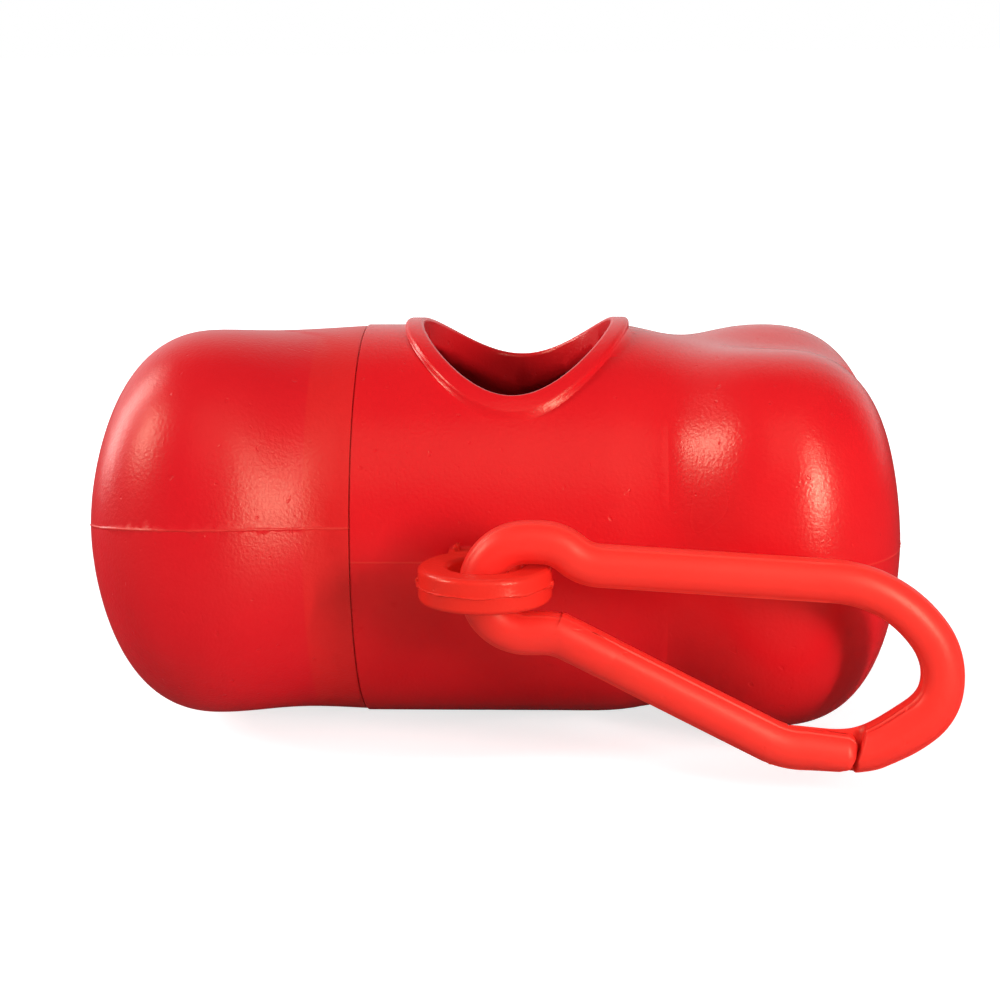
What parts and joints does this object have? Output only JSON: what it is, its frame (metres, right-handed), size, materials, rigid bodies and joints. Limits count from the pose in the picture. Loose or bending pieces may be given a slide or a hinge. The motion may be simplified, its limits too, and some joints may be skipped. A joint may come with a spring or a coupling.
{
  "type": "dog poop bag dispenser",
  "caption": "Stubby bone-shaped barrel with a screw-on knuckle cap, an oval dispensing opening with a raised rim, a roll of bags inside and a moulded snap clip on a side ring.",
  "frame": {"origin": "under the middle of the whole part's bounding box, on the level surface that the dispenser lies on", "axes": "X runs along the barrel with the cap at -X, +Z points out of the dispensing opening, -Y is the side with the lug ring and the clip"},
  "size_m": [0.084, 0.0577, 0.0413],
  "materials": {
    "shell_plastic": "fine moulded grain with a soft sheen, signal red",
    "clip_plastic": "smooth satin, slightly lighter and more orange red",
    "bag_film": "thin wound film, dull black",
    "core_board": "plain brown board tube"
  },
  "bodies": {
    "barrel": {"barrel": "shell_plastic"},
    "roll_core": {"roll_core": "core_board"},
    "screw_cap": {"screw_cap": "shell_plastic"},
    "bag_roll": {"bag_roll": "bag_film"},
    "clip_hook": {"clip_hook": "clip_plastic"},
    "clip_gate": {"clip_gate": "clip_plastic"}
  },
  "joints": [
    {"name": "cap_travel", "type": "slide", "parent": "barrel", "child": "roll_core", "axis": [-1, 0, 0], "range_m": [0, 0.0076]},
    {"name": "cap_turn", "type": "hinge", "parent": "roll_core", "child": "screw_cap", "pos_m": [-0.0021, 0.0047, 0.02055], "axis": [-1, 0, 0], "range_deg": [0, 540]},
    {"name": "roll_spin", "type": "hinge", "parent": "roll_core", "child": "bag_roll", "pos_m": [-0.0021, 0.0047, 0.01855], "axis": [1, 0, 0], "continuous": true},
    {"name": "clip_swing", "type": "hinge", "parent": "barrel", "child": "clip_hook", "pos_m": [-0.0021, -0.0234, 0.02055], "axis": [0, 0, 1], "range_deg": [-182, 2]},
    {"name": "gate_flex", "type": "hinge", "parent": "clip_hook", "child": "clip_gate", "pos_m": [0.0056, -0.0234, 0.01533], "axis": [0, -1, 0], "range_deg": [0, 15], "stiffness_Nm_per_rad": 0.5}
  ],
  "couplings": [
    {"joint": "cap_travel", "follows": "cap_turn", "m_per_rad": 0.00079577}
  ]
}
